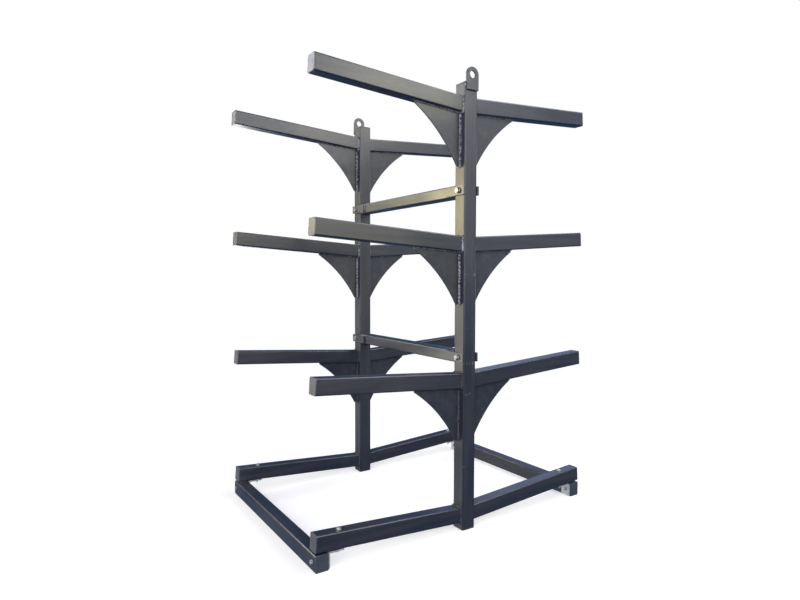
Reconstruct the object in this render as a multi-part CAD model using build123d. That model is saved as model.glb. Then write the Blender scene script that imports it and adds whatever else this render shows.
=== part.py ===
from build123d import *
from math import cos, radians, tan
import os

# Double-sided cantilever rack: two identical welded frames, front and rear, each a post with
# three cantilever arms and a base leg on either side.  Two braces and two crossbars join them.
# X runs along the arms, Y from the front frame (-Y) to the rear frame (+Y), Z is up.
# The origin is on the floor, midway between the frames and between the arm tips.
# All lengths are millimetres.

# Tube stock
WALL = 3.0
CORNER_R = 5.0
POST_SIDE = 60.0
ARM_WIDTH = 50.0
ARM_HEIGHT = 60.0
BRACE_WIDTH = 60.0
BRACE_HEIGHT = 45.0
CAP_T = 4.0
WELD_PREP = 1.0

# Frames
POST_HEIGHT = 1730.0
POST_SPACING = 810.0
POST_PLATE_T = 5.0
ARM_LENGTH = 620.0
ARM_RISE = 3.7
ARM_SET_BACK = 5.0
LEG_CENTRE_Z = 57.0
LEVEL_PITCH = 530.0

# Gussets
GUSSET_T = 6.0
GUSSET_SET_BACK = 2.0
GUSSET_REACH = 210.0
GUSSET_DROP = 204.0
GUSSET_NOSE = 9.0
GUSSET_TOE = 16.0
GUSSET_SAGITTA = 18.0

# Lifting lugs
LUG_T = 8.0
LUG_WIDTH = 57.0
LUG_HOLE_D = 28.0
LUG_HOLE_Z = 1757.0
LUG_BOTTOM_Z = 1699.0

# Braces and their ear plates
LOWER_BRACE_Z = 678.0
UPPER_BRACE_Z = 1322.0
BRACE_GAP = 1.0
EAR_LENGTH = 110.0
EAR_HEIGHT = 35.0
EAR_T = 8.0
EAR_OVERHANG = 3.0
EAR_CORNER_R = 2.0

# Crossbars and angle brackets
CROSSBAR_WIDTH = 50.0
CROSSBAR_HEIGHT = 60.0
CROSSBAR_INNER_X = 602.0
BRACKET_T = 5.0
BRACKET_WIDTH = 45.0
BRACKET_FOOT = 60.0
BRACKET_DROP = 56.0
BRACKET_OUTER_R = 7.0
BRACKET_INNER_R = 3.0

# Fasteners: M12 through the brace ears, M8 at the base
BRACE_BOLT = {"d": 12.0, "hole": 13.0, "across": 19.0, "head": 7.5, "nut": 10.5}
BASE_BOLT = {"d": 8.0, "hole": 9.0, "across": 13.0, "head": 5.3, "nut": 6.5}
BRACE_WASHER_OD = 24.0
BRACE_WASHER_T = 2.5
BASE_WASHER_OD = 16.0
BASE_WASHER_T = 1.6
THREAD_PLAY = 0.2
LEG_BOLT_AT = 525.0
LEG_BOLT_TAIL = 14.0
CROSSBAR_BOLT_Z = 32.0

FRAMES = {"front": -POST_SPACING / 2, "rear": POST_SPACING / 2}
SIDES = {"left": -1, "right": 1}
LEVELS = {"low": 1, "middle": 2, "top": 3}
HALF_POST = POST_SIDE / 2


def ring(width, height):
    """Cross-section of a rectangular tube with rounded corners."""
    outer = RectangleRounded(width, height, CORNER_R)
    inner = RectangleRounded(width - 2 * WALL, height - 2 * WALL, CORNER_R - WALL)
    return outer - inner


def plate_outline(width, height):
    """Outline of a plate that closes the end of a tube, flush with its outside."""
    return RectangleRounded(width, height, CORNER_R)


def along_x(section, start, length):
    return extrude(Plane(origin=(start, 0, 0), x_dir=(0, 1, 0), z_dir=(1, 0, 0)) * section, length)


def along_y(section, start, length):
    return extrude(Plane(origin=(0, start, 0), x_dir=(1, 0, 0), z_dir=(0, 1, 0)) * section, length)


def rod_x(diameter, length):
    return Rot(Y=90) * Cylinder(diameter / 2, length)


def on_side(shape, side):
    """Put a shape made for the right-hand side on the side asked for."""
    return shape if side > 0 else mirror(shape, about=Plane.YZ)


def raised(shape, y_centre, z_root):
    """Tilt an arm-like shape so that it rises outwards from the post's right face."""
    return Pos(HALF_POST, y_centre, z_root) * (Rot(Y=-ARM_RISE) * shape)


def arm_y(frame_y):
    return frame_y + ARM_SET_BACK


def cantilever(y_centre, z_root, side):
    """Arm tube: cut upright and chamfered for the weld at the post, square at the tip."""
    tube = along_x(ring(ARM_WIDTH, ARM_HEIGHT), -20, ARM_LENGTH - CAP_T + 20)
    tube = raised(tube, y_centre, z_root)
    tube -= Pos(HALF_POST - 50, y_centre, z_root) * Box(100, 200, 200)
    root = tube.faces().sort_by(Axis.X)[0]
    tube = chamfer(root.outer_wire().edges(), WELD_PREP)
    return on_side(tube, side)


def cantilever_cap(y_centre, z_root, side):
    cap = along_x(plate_outline(ARM_WIDTH, ARM_HEIGHT), ARM_LENGTH - CAP_T, CAP_T)
    return on_side(raised(cap, y_centre, z_root), side)


def base_leg(y_centre, side):
    """Base leg: the arm tube again, drilled for the bolt that goes down to the bracket."""
    hole = Pos(LEG_BOLT_AT, 0, 0) * Cylinder(BASE_BOLT["hole"] / 2, 3 * ARM_HEIGHT)
    leg = cantilever(y_centre, LEG_CENTRE_Z, side)
    return leg - on_side(raised(hole, y_centre, LEG_CENTRE_Z), side)


def gusset(frame_y, z_root, side):
    """Curved gusset: straight against post and arm, hollow free edge, blunt nose and toe."""
    under = z_root - ARM_HEIGHT / 2 / cos(radians(ARM_RISE))
    inner_top = (HALF_POST, under)
    outer_top = (HALF_POST + GUSSET_REACH, under + GUSSET_REACH * tan(radians(ARM_RISE)))
    nose = (outer_top[0], outer_top[1] - GUSSET_NOSE)
    toe = (HALF_POST + GUSSET_TOE, under - GUSSET_DROP)
    heel = (HALF_POST, toe[1])
    outline = Polyline(toe, heel, inner_top, outer_top, nose) + SagittaArc(nose, toe, -GUSSET_SAGITTA)
    face = make_face(outline)
    y_front = frame_y + GUSSET_SET_BACK - GUSSET_T / 2
    sheet = Plane(origin=(0, y_front, 0), x_dir=(1, 0, 0), z_dir=(0, -1, 0)) * face
    return on_side(extrude(sheet, -GUSSET_T), side)


def post(frame_y):
    body_height = POST_HEIGHT - 2 * POST_PLATE_T
    body = Pos(0, frame_y, POST_PLATE_T) * extrude(ring(POST_SIDE, POST_SIDE), body_height)
    for z in (LOWER_BRACE_Z, UPPER_BRACE_Z):
        body -= Pos(0, frame_y, z) * rod_x(BRACE_BOLT["hole"], 2 * POST_SIDE)
    return body


def post_plate(frame_y, z_bottom):
    return Pos(0, frame_y, z_bottom) * extrude(plate_outline(POST_SIDE, POST_SIDE), POST_PLATE_T)


def lifting_lug(frame_y):
    """Round-topped lifting plate with an eye, lapped on the post's outer face."""
    outward = 1 if frame_y > 0 else -1
    shank_height = LUG_HOLE_Z - LUG_BOTTOM_Z
    outline = Pos(0, LUG_HOLE_Z - shank_height / 2) * Rectangle(LUG_WIDTH, shank_height)
    outline += Pos(0, LUG_HOLE_Z) * Circle(LUG_WIDTH / 2)
    outline -= Pos(0, LUG_HOLE_Z) * Circle(LUG_HOLE_D / 2)
    y_middle = frame_y + outward * (HALF_POST + LUG_T / 2)
    sheet = Plane(origin=(0, y_middle, 0), x_dir=(1, 0, 0), z_dir=(0, -1, 0)) * outline
    return extrude(sheet, LUG_T / 2, both=True)


def brace_tube(z_centre):
    length = POST_SPACING - POST_SIDE - 2 * BRACE_GAP
    return Pos(0, 0, z_centre) * along_y(ring(BRACE_WIDTH, BRACE_HEIGHT), -length / 2, length)


def brace_ears(frame_y, z_centre):
    """Pair of flat ears welded to the brace that straddle the post."""
    outward = 1 if frame_y > 0 else -1
    outer_end = frame_y + outward * (HALF_POST + EAR_OVERHANG)
    y_centre = outer_end - outward * EAR_LENGTH / 2
    outline = RectangleRounded(EAR_LENGTH, EAR_HEIGHT, EAR_CORNER_R)
    ears = []
    for side in SIDES.values():
        ear = Pos(side * HALF_POST, y_centre, z_centre) * along_x(outline, 0, side * EAR_T)
        ears.append(ear - Pos(0, frame_y, z_centre) * rod_x(BRACE_BOLT["hole"], 4 * POST_SIDE))
    return Compound(children=ears)


def crossbar_span():
    y_start = arm_y(FRAMES["front"]) - ARM_WIDTH / 2
    y_end = arm_y(FRAMES["rear"]) + ARM_WIDTH / 2
    return y_start, y_end


def crossbar(side):
    y_start, y_end = crossbar_span()
    x_centre = CROSSBAR_INNER_X + CROSSBAR_WIDTH / 2
    bar = along_y(ring(CROSSBAR_WIDTH, CROSSBAR_HEIGHT), y_start + CAP_T, y_end - y_start - 2 * CAP_T)
    bar = Pos(x_centre, 0, CROSSBAR_HEIGHT / 2) * bar
    for frame_y in FRAMES.values():
        bar -= Pos(x_centre, arm_y(frame_y), CROSSBAR_BOLT_Z) * rod_x(BASE_BOLT["hole"], 80)
    return on_side(bar, side)


def crossbar_caps():
    caps = []
    x_centre = CROSSBAR_INNER_X + CROSSBAR_WIDTH / 2
    y_start, y_end = crossbar_span()
    for side in SIDES.values():
        for y in (y_start, y_end - CAP_T):
            cap = along_y(plate_outline(CROSSBAR_WIDTH, CROSSBAR_HEIGHT), y, CAP_T)
            caps.append(on_side(Pos(x_centre, 0, CROSSBAR_HEIGHT / 2) * cap, side))
    return Compound(children=caps)


def angle_bracket(frame_y, side):
    """Folded bracket: one flange down the crossbar's inner face, one under the leg."""
    top = CROSSBAR_HEIGHT
    outer = CROSSBAR_INNER_X
    flange_x = outer - BRACKET_FOOT / 2
    profile = Pos(flange_x, top - BRACKET_T / 2) * Rectangle(BRACKET_FOOT, BRACKET_T)
    profile += Pos(outer - BRACKET_T / 2, top - BRACKET_DROP / 2) * Rectangle(BRACKET_T, BRACKET_DROP)
    bend_outside = profile.vertices().sort_by_distance((outer, top, 0))[0]
    profile = fillet(bend_outside, BRACKET_OUTER_R)
    bend_inside = profile.vertices().sort_by_distance((outer - BRACKET_T, top - BRACKET_T, 0))[0]
    profile = fillet(bend_inside, BRACKET_INNER_R)
    sheet = Plane(origin=(0, arm_y(frame_y), 0), x_dir=(1, 0, 0), z_dir=(0, -1, 0)) * profile
    bracket = extrude(sheet, BRACKET_WIDTH / 2, both=True)
    bracket -= Pos(outer, arm_y(frame_y), CROSSBAR_BOLT_Z) * rod_x(BASE_BOLT["hole"], 40)
    tapped = Pos(LEG_BOLT_AT, 0, 0) * Cylinder((BASE_BOLT["d"] + THREAD_PLAY) / 2, 3 * ARM_HEIGHT)
    bracket -= raised(tapped, arm_y(frame_y), LEG_CENTRE_Z)
    return on_side(bracket, side)


def hexagon(across, height):
    """Hexagonal prism from Z = 0 up, with its upper corners turned off."""
    prism = extrude(RegularPolygon(across / 2, 6, major_radius=False), height)
    turned = Pos(0, 0, height / 2) * Cylinder(across * 0.577, height)
    turned = chamfer(turned.edges().sort_by(Axis.Z)[-1], across * 0.06)
    return prism & turned


def hex_bolt(size, grip):
    """Bolt with the underside of its head at Z = 0 and its shank down to Z = -grip."""
    shank = Pos(0, 0, -grip / 2) * Cylinder(size["d"] / 2, grip)
    shank = chamfer(shank.edges().sort_by(Axis.Z)[0], size["d"] * 0.1)
    return hexagon(size["across"], size["head"]) + shank


def hex_nut(size):
    return hexagon(size["across"], size["nut"]) - Cylinder((size["d"] + THREAD_PLAY) / 2, 4 * size["nut"])


def washer(outer_d, hole_d, thickness):
    """Flat washer from Z = 0 up."""
    return extrude(Circle(outer_d / 2) - Circle(hole_d / 2), thickness)


def facing_x(shape, side):
    """Turn a shape built up along +Z so that it points outwards along X on the side given."""
    return Rot(Y=90 * side) * shape


def brace_fasteners():
    bolts = []
    washers = []
    nuts = []
    face = HALF_POST + EAR_T
    grip = 2 * face + 2 * BRACE_WASHER_T + BRACE_BOLT["nut"] + 4
    for frame_y in FRAMES.values():
        for z in (LOWER_BRACE_Z, UPPER_BRACE_Z):
            head = Pos(-face - BRACE_WASHER_T, frame_y, z)
            bolts.append(head * facing_x(hex_bolt(BRACE_BOLT, grip), -1))
            nuts.append(Pos(face + BRACE_WASHER_T, frame_y, z) * facing_x(hex_nut(BRACE_BOLT), 1))
            for side in SIDES.values():
                disc = washer(BRACE_WASHER_OD, BRACE_BOLT["hole"], BRACE_WASHER_T)
                washers.append(Pos(side * face, frame_y, z) * facing_x(disc, side))
    return Compound(children=bolts), Compound(children=washers), Compound(children=nuts)


def leg_fasteners():
    bolts = []
    washers = []
    top = ARM_HEIGHT / 2
    grip = ARM_HEIGHT + BASE_WASHER_T + BRACKET_T + LEG_BOLT_TAIL
    for frame_y in FRAMES.values():
        for side in SIDES.values():
            bolt = Pos(LEG_BOLT_AT, 0, top + BASE_WASHER_T) * hex_bolt(BASE_BOLT, grip)
            disc = Pos(LEG_BOLT_AT, 0, top) * washer(BASE_WASHER_OD, BASE_BOLT["hole"], BASE_WASHER_T)
            bolts.append(on_side(raised(bolt, arm_y(frame_y), LEG_CENTRE_Z), side))
            washers.append(on_side(raised(disc, arm_y(frame_y), LEG_CENTRE_Z), side))
    return Compound(children=bolts), Compound(children=washers)


def crossbar_fasteners():
    bolts = []
    washers = []
    nuts = []
    outer = CROSSBAR_INNER_X + CROSSBAR_WIDTH
    inner = CROSSBAR_INNER_X - BRACKET_T
    grip = BASE_WASHER_T + outer - inner + BASE_BOLT["nut"] + 4
    for frame_y in FRAMES.values():
        for side in SIDES.values():
            axis = Pos(0, arm_y(frame_y), CROSSBAR_BOLT_Z)
            bolt = Pos(outer + BASE_WASHER_T, 0, 0) * facing_x(hex_bolt(BASE_BOLT, grip), 1)
            disc = washer(BASE_WASHER_OD, BASE_BOLT["hole"], BASE_WASHER_T)
            nut = Pos(inner, 0, 0) * facing_x(hex_nut(BASE_BOLT), -1)
            bolts.append(on_side(axis * bolt, side))
            washers.append(on_side(axis * (Pos(outer, 0, 0) * facing_x(disc, 1)), side))
            nuts.append(on_side(axis * nut, side))
    return Compound(children=bolts), Compound(children=washers), Compound(children=nuts)


nodes = {}
arm_caps = []
leg_caps = []

for frame, frame_y in FRAMES.items():
    nodes[frame + "_post"] = post(frame_y)
    nodes[frame + "_post_foot_plate"] = post_plate(frame_y, 0)
    nodes[frame + "_post_top_cap"] = post_plate(frame_y, POST_HEIGHT - POST_PLATE_T)
    nodes[frame + "_lifting_lug"] = lifting_lug(frame_y)
    nodes["lower_brace_" + frame + "_ears"] = brace_ears(frame_y, LOWER_BRACE_Z)
    nodes["upper_brace_" + frame + "_ears"] = brace_ears(frame_y, UPPER_BRACE_Z)
    for side_name, side in SIDES.items():
        nodes[frame + "_base_leg_" + side_name] = base_leg(arm_y(frame_y), side)
        leg_caps.append(cantilever_cap(arm_y(frame_y), LEG_CENTRE_Z, side))
        nodes[frame + "_" + side_name + "_angle_bracket"] = angle_bracket(frame_y, side)
        for level_name, level in LEVELS.items():
            z_root = LEG_CENTRE_Z + level * LEVEL_PITCH
            place = side_name + "_" + level_name
            nodes[frame + "_arm_" + place] = cantilever(arm_y(frame_y), z_root, side)
            nodes[frame + "_gusset_" + place] = gusset(frame_y, z_root, side)
            arm_caps.append(cantilever_cap(arm_y(frame_y), z_root, side))

nodes["arm_end_caps"] = Compound(children=arm_caps)
nodes["leg_end_caps"] = Compound(children=leg_caps)
nodes["lower_brace"] = brace_tube(LOWER_BRACE_Z)
nodes["upper_brace"] = brace_tube(UPPER_BRACE_Z)
nodes["left_crossbar"] = crossbar(SIDES["left"])
nodes["right_crossbar"] = crossbar(SIDES["right"])
nodes["crossbar_end_caps"] = crossbar_caps()
nodes["brace_bolts"], nodes["brace_bolt_washers"], nodes["brace_bolt_nuts"] = brace_fasteners()
nodes["leg_bolts"], nodes["leg_bolt_washers"] = leg_fasteners()
nodes["crossbar_bolts"], nodes["crossbar_bolt_washers"], nodes["crossbar_bolt_nuts"] = crossbar_fasteners()

os.makedirs("parts", exist_ok=True)
for name, shape in nodes.items():
    export_step(shape, "parts/" + name + ".step")
print(len(nodes), "nodes written")
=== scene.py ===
# %% [markdown]
# # A double-sided cantilever rack
#
# The rack is two steel frames, one behind the other. Each has a square post with three pairs of
# arms and one pair of base legs, and two braces and two crossbars bolt the frames together.
# The tubes and plates are already there as CAD solids. This lesson gives them what a drawing
# leaves out: weld beads, softened plate edges, turned and threaded bolts, and real finishes.
#
# The first cell loads the CAD solids, which never move, and gives a way to read the box of any one
# of them.

# %% Load the CAD frame, and a way to read a part's box
from math import cos, degrees, pi, radians, sin, sqrt, tan

import bmesh
import bpy
from mathutils import Matrix, Vector
from mathutils.geometry import interpolate_bezier
from mathutils.noise import noise


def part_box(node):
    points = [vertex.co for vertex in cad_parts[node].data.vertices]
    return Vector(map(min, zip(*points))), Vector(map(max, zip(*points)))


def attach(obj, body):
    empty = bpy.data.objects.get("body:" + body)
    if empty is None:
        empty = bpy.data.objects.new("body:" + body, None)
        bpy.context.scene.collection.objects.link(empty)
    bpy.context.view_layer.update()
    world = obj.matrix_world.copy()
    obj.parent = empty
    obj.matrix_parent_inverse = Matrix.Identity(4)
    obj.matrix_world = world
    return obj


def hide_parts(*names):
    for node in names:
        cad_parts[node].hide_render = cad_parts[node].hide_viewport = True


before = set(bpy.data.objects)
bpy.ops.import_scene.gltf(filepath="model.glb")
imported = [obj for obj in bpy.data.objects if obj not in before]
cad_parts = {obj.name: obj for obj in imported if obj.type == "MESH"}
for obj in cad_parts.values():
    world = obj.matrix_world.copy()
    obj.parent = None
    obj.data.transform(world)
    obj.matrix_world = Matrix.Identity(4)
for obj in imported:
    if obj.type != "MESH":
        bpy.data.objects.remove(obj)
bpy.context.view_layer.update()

print("CAD nodes:", len(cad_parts))

# %% [markdown]
# ## The sizes that the new pieces share
#
# Everything is in metres. Wherever a size can be read from a CAD node's box it is, so that the
# welds stay on their joints if the frame changes. Only what a box can't say is typed in here:
# how steeply the arms rise, and the thickness of plates and bolts.

# %% Where the posts, arms and gussets are
ARM_RISE = radians(3.7)
SIDES = {"left": -1, "right": 1}
FRAMES = ("front", "rear")
LEVELS = ("low", "middle", "top")

post_low, post_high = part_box("front_post")
HALF_POST = post_high.x
POST_Y = {name: sum(corner.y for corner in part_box(name + "_post")) / 2 for name in FRAMES}
TUBE_TOP = post_high.z
arm_low, arm_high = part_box("front_arm_right_low")
ARM_HALF_WIDTH = (arm_high.y - arm_low.y) / 2
ARM_Y = {name: sum(corner.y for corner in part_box(name + "_arm_right_low")) / 2 for name in FRAMES}
ARM_HALF_HEIGHT = 0.030
ROOT_HALF_HEIGHT = ARM_HALF_HEIGHT / cos(ARM_RISE)
print("posts at Y", POST_Y, "arms at Y", ARM_Y)


def root_height(node):
    """Height of an arm's centreline where it meets the post, its lowest part."""
    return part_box(node)[0].z + ROOT_HALF_HEIGHT


ROOT_Z = {level: root_height("front_arm_right_" + level) for level in LEVELS}
LEG_Z = root_height("front_base_leg_right")
print("arm roots at Z", {k: round(v, 4) for k, v in ROOT_Z.items()}, "legs", round(LEG_Z, 4))

# %% [markdown]
# ## Node helpers
#
# A finish is a small graph of nodes. Writing each node out by hand is long and hard to read, so
# one helper adds a node, sets its options and plugs in its inputs in a single line. A value that
# is the same everywhere goes straight onto the shader's own socket.


# %% Adding a node in one line
def add(tree, kind, inputs=None, **options):
    """Adds a node; inputs may be plain values or other nodes' outputs."""
    made = tree.nodes.new(kind)
    for name, value in options.items():
        setattr(made, name, value)
    for name, value in (inputs or {}).items():
        if isinstance(value, bpy.types.NodeSocket):
            tree.links.new(value, made.inputs[name])
        else:
            made.inputs[name].default_value = value
    return made


def ramp(tree, source, *stops):
    """A colour ramp from (position, colour) stops; a single number is a grey."""
    made = add(tree, "ShaderNodeValToRGB", {"Fac": source})
    band = made.color_ramp.elements
    while len(band) < len(stops):
        band.new(0.5)
    for element, (position, colour) in zip(band, stops):
        element.position = position
        element.color = (*colour, 1) if isinstance(colour, tuple) else (colour, colour, colour, 1)
    return made.outputs["Color"]


def blend_colours(tree, share, first, second, how="MIX"):
    """Mixes two colours, each a plain tuple or another node's output."""
    values = {"Fac": share}
    for name, colour in (("Color1", first), ("Color2", second)):
        values[name] = (*colour, 1) if isinstance(colour, tuple) else colour
    return add(tree, "ShaderNodeMixRGB", values, blend_type=how).outputs["Color"]


def calculate(tree, how, first, second):
    """One sum on two numbers, each a plain number or another node's output."""
    made = add(tree, "ShaderNodeMath", operation=how)
    for socket, value in zip(made.inputs, (first, second)):
        if isinstance(value, bpy.types.NodeSocket):
            tree.links.new(value, socket)
        else:
            socket.default_value = value
    return made.outputs["Value"]


def new_finish(name):
    """A material with its shader, and the place of each point on the piece."""
    material = bpy.data.materials.new(name)
    material.use_nodes = True
    tree = material.node_tree
    place = add(tree, "ShaderNodeTexCoord").outputs["Object"]
    return material, tree, tree.nodes["Principled BSDF"], place


print("node helpers ready")

# %% [markdown]
# ## Powder coat
#
# The tubes and plates are painted with a dark anthracite powder that is baked until it flows. It
# is a satin gloss, and up close it has the fine pebbling called orange peel. Three sizes of noise
# make it: a slow one for the faint clouds in the colour and the dents that rolled tube has, a
# middle one for the orange peel, and a fine one for the grains of powder. All read Object
# coordinates, in metres, so the grain is the same size on every piece.
#
# Where a corner has been rubbed, the paint is thin and paler, and the same pale colour is also a
# painted highlight, standing in for the line of light on the rounded edges. The Bevel node finds those
# corners: it gives the direction a surface would face if its edges were rounded, and where that differs
# from the real direction there is an edge.

# %% Finding the sharp edges
PAINT_DEEP = (0.020, 0.023, 0.034)
PAINT_PALE = (0.030, 0.032, 0.042)
ROLLED = (0.042, 0.043, 0.050)
# Pale lavender-grey edges: rubbed paint, and also a painted highlight of the rounded edges.
WORN_AND_HIGHLIT_EDGE = (0.17, 0.16, 0.175)


def edge_mask(tree, radius):
    """1 on sharp edges and 0 on flat faces."""
    rounded = add(tree, "ShaderNodeBevel", {"Radius": radius}, samples=4)
    real = add(tree, "ShaderNodeNewGeometry")
    same = add(tree, "ShaderNodeVectorMath", operation="DOT_PRODUCT")
    tree.links.new(rounded.outputs["Normal"], same.inputs[0])
    tree.links.new(real.outputs["Normal"], same.inputs[1])
    return ramp(tree, same.outputs["Value"], (0.78, 1.0), (0.985, 0.0))


print("paint from", PAINT_DEEP, "to", PAINT_PALE)

# %% [markdown]
# A tube also has faint lines from the rolls that formed it. They are noise that is squeezed across
# the tube and drawn out along it, so each direction of tube has its own stretch. What differs from
# piece to piece is an argument: how glossy it is, how rubbed its edges are and how strong their
# painted highlight is, and any marks on it.

# %% The anthracite powder coat
ALONG = {"X": (2, 55, 55), "Y": (55, 2, 55), "Z": (55, 55, 2), "": (35, 35, 35)}


def powder_coat(name, tube_axis="", roughness=(0.27, 0.40), rub_and_highlight=0.12, peel=1.0, gloss=1.52, marks=None):
    """Anthracite powder; on a tube, faint roll lines run along its axis."""
    material, tree, shader, place = new_finish(name)
    clouds = add(tree, "ShaderNodeTexNoise", {"Vector": place, "Scale": 4.0, "Detail": 4.0})
    stretched = add(tree, "ShaderNodeMapping", {"Vector": place, "Scale": ALONG[tube_axis]})
    streaks = add(tree, "ShaderNodeTexNoise", {
        "Vector": stretched.outputs["Vector"], "Scale": 1.0, "Detail": 3.0})
    grains = add(tree, "ShaderNodeTexNoise", {"Vector": place, "Scale": 1500.0, "Detail": 1.0})
    pebbles = add(tree, "ShaderNodeTexNoise", {"Vector": place, "Scale": 330.0, "Detail": 2.0})
    dents = add(tree, "ShaderNodeTexNoise", {"Vector": place, "Scale": 9.0, "Detail": 1.0})

    cloudy = ramp(tree, clouds.outputs["Fac"], (0.30, PAINT_DEEP), (0.72, PAINT_PALE))
    streaky = ramp(tree, streaks.outputs["Fac"], (0.42, 0.0), (0.66, 0.8))
    colour = blend_colours(tree, streaky, cloudy, ROLLED)
    grainy = ramp(tree, grains.outputs["Fac"], (0.35, 0.90), (0.65, 1.12))
    colour = blend_colours(tree, 1.0, colour, grainy, "MULTIPLY")
    worn = calculate(tree, "MULTIPLY", edge_mask(tree, 0.0012), rub_and_highlight)
    patchy = ramp(tree, clouds.outputs["Fac"], (0.38, 0.15), (0.62, 1.0))
    worn = calculate(tree, "MULTIPLY", worn, patchy)
    # Painted highlight and wear: the sharp edges turn pale, in patches.
    colour = blend_colours(tree, worn, colour, WORN_AND_HIGHLIT_EDGE)
    if marks:
        colour = marks(tree, place, colour)
    tree.links.new(colour, shader.inputs["Base Color"])

    low, high = roughness
    sheen = ramp(tree, clouds.outputs["Fac"], (0.3, low), (0.7, high))
    tree.links.new(sheen, shader.inputs["Roughness"])
    shader.inputs["IOR"].default_value = gloss
    shader.inputs["Coat Weight"].default_value = 0.25
    shader.inputs["Coat Roughness"].default_value = 0.12

    dented = add(tree, "ShaderNodeBump", {
        "Strength": 0.35, "Distance": 0.0012, "Height": dents.outputs["Fac"]})
    rolled = add(tree, "ShaderNodeBump", {
        "Strength": 0.30, "Distance": 0.0006, "Height": streaks.outputs["Fac"],
        "Normal": dented.outputs["Normal"]})
    orange_peel = add(tree, "ShaderNodeBump", {
        "Strength": 0.22 * peel, "Distance": 0.0004, "Height": pebbles.outputs["Fac"],
        "Normal": rolled.outputs["Normal"]})
    powdery = add(tree, "ShaderNodeBump", {
        "Strength": 0.10 * peel, "Distance": 0.0001, "Height": grains.outputs["Fac"],
        "Normal": orange_peel.outputs["Normal"]})
    tree.links.new(powdery.outputs["Normal"], shader.inputs["Normal"])
    return material


tube_paints = {axis: powder_coat("tube_paint_" + axis.lower(), axis, rub_and_highlight=0.3) for axis in "XYZ"}
brace_paint = powder_coat("brace_paint", "Y", gloss=1.72)
cap_paint = powder_coat("cap_paint", roughness=(0.40, 0.50), rub_and_highlight=0.35, gloss=2.2)
plate_paint = powder_coat("plate_paint", roughness=(0.32, 0.42), rub_and_highlight=0.35, gloss=1.50)
print("paints:", [paint.name for paint in tube_paints.values()], plate_paint.name)

# %% [markdown]
# ## Knocks on the front post
#
# The front post gets hit by whatever is lifted past it. Just below the lower brace there is a row
# of short brownish dashes where the primer shows, and a few small knocks above and below it. All
# are on the front face. The dashes repeat across the post, and noise breaks them up so that no
# two are alike. A knock is a spot of noise, let through only in a narrow band of heights.

# %% Paint with rows of small chips
DASHES_Z, DASH_PITCH, DASH_LENGTH = 0.655, 0.0145, 0.011
KNOCK_HEIGHTS = (0.252, 0.535, 0.790, 1.000)
KNOCK_BAND = 0.007
PRIMER = (0.22, 0.165, 0.13)


def near_height(tree, height_of, level, band):
    """1 within a band of heights and 0 elsewhere."""
    made = add(tree, "ShaderNodeMath", operation="COMPARE")
    tree.links.new(height_of, made.inputs[0])
    made.inputs[1].default_value = level
    made.inputs[2].default_value = band / 2
    return made.outputs["Value"]


def chipped(tree, place, colour):
    """Lets the dashes and knocks through on the face that looks forwards."""
    parts = add(tree, "ShaderNodeSeparateXYZ", {"Vector": place})
    tall = add(tree, "ShaderNodeMapping", {"Vector": place, "Scale": (120, 120, 60)})
    spots = add(tree, "ShaderNodeTexNoise", {
        "Vector": tall.outputs["Vector"], "Scale": 1.0, "Detail": 2.0})
    knocks = ramp(tree, spots.outputs["Fac"], (0.585, 0.0), (0.63, 1.0))
    near = 0.0
    for height in KNOCK_HEIGHTS:
        near = calculate(tree, "ADD", near, near_height(tree, parts.outputs["Z"], height, KNOCK_BAND))
    knocks = calculate(tree, "MULTIPLY", knocks, near)
    across = calculate(tree, "PINGPONG", calculate(tree, "ADD", parts.outputs["X"], 1.0), DASH_PITCH / 2)
    dashes = calculate(tree, "LESS_THAN", across, DASH_PITCH * 0.13)
    broken = ramp(tree, spots.outputs["Fac"], (0.40, 0.0), (0.50, 0.9))
    row = near_height(tree, parts.outputs["Z"], DASHES_Z, DASH_LENGTH)
    dashes = calculate(tree, "MULTIPLY", calculate(tree, "MULTIPLY", dashes, broken), row)
    front = calculate(tree, "LESS_THAN", parts.outputs["Y"], POST_Y["front"] - HALF_POST + 0.002)
    shown = calculate(tree, "MULTIPLY", calculate(tree, "MAXIMUM", knocks, dashes), front)
    return blend_colours(tree, shown, colour, PRIMER)


post_paint = powder_coat("post_paint", "Z", rub_and_highlight=0.45, marks=chipped)
print("dashes at", DASHES_Z, "knocks at", KNOCK_HEIGHTS)

# %% [markdown]
# ## Paint over a weld, and a spot it missed
#
# Powder flows off the tops of the weld ripples, so the beads are shinier than the tubes. Their paler
# spots are painted highlights, standing in for the glints of light on the ripples, and they fade out
# on the low beads as painted shade, which keeps those darker. At the nose of each gusset the powder
# doesn't reach into the corner, and a little of the yellowish primer shows.
#
# The weld paint is the powder coat with one step put in: what fed the shader's colour now goes
# through a mix with the painted highlights first. A ramp only runs from 0 to 1, so it reads half the
# height: the painted highlights are faint below 0.68 m and full above 0.84 m.

# %% Weld paint
# The pale colour of the painted highlights on the weld ripples.
PAINTED_GLINT = (0.50, 0.48, 0.50)
weld_paint = powder_coat("weld_paint", roughness=(0.22, 0.34), rub_and_highlight=0.0, peel=0.6)
weld_tree = weld_paint.node_tree
weld_shader = weld_tree.nodes["Principled BSDF"]
painted = weld_shader.inputs["Base Color"].links[0].from_socket
weld_place = next(n for n in weld_tree.nodes if n.type == "TEX_COORD").outputs["Object"]
blobs = add(weld_tree, "ShaderNodeTexNoise", {"Vector": weld_place, "Scale": 140.0, "Detail": 2.0})
# Painted highlights: pale spots stand in for the glints of light on the ripples.
painted_glints = ramp(weld_tree, blobs.outputs["Fac"], (0.38, 0.0), (0.58, 0.9))
height = add(weld_tree, "ShaderNodeSeparateXYZ", {"Vector": weld_place}).outputs["Z"]
half_height = calculate(weld_tree, "MULTIPLY", height, 0.5)
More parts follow.
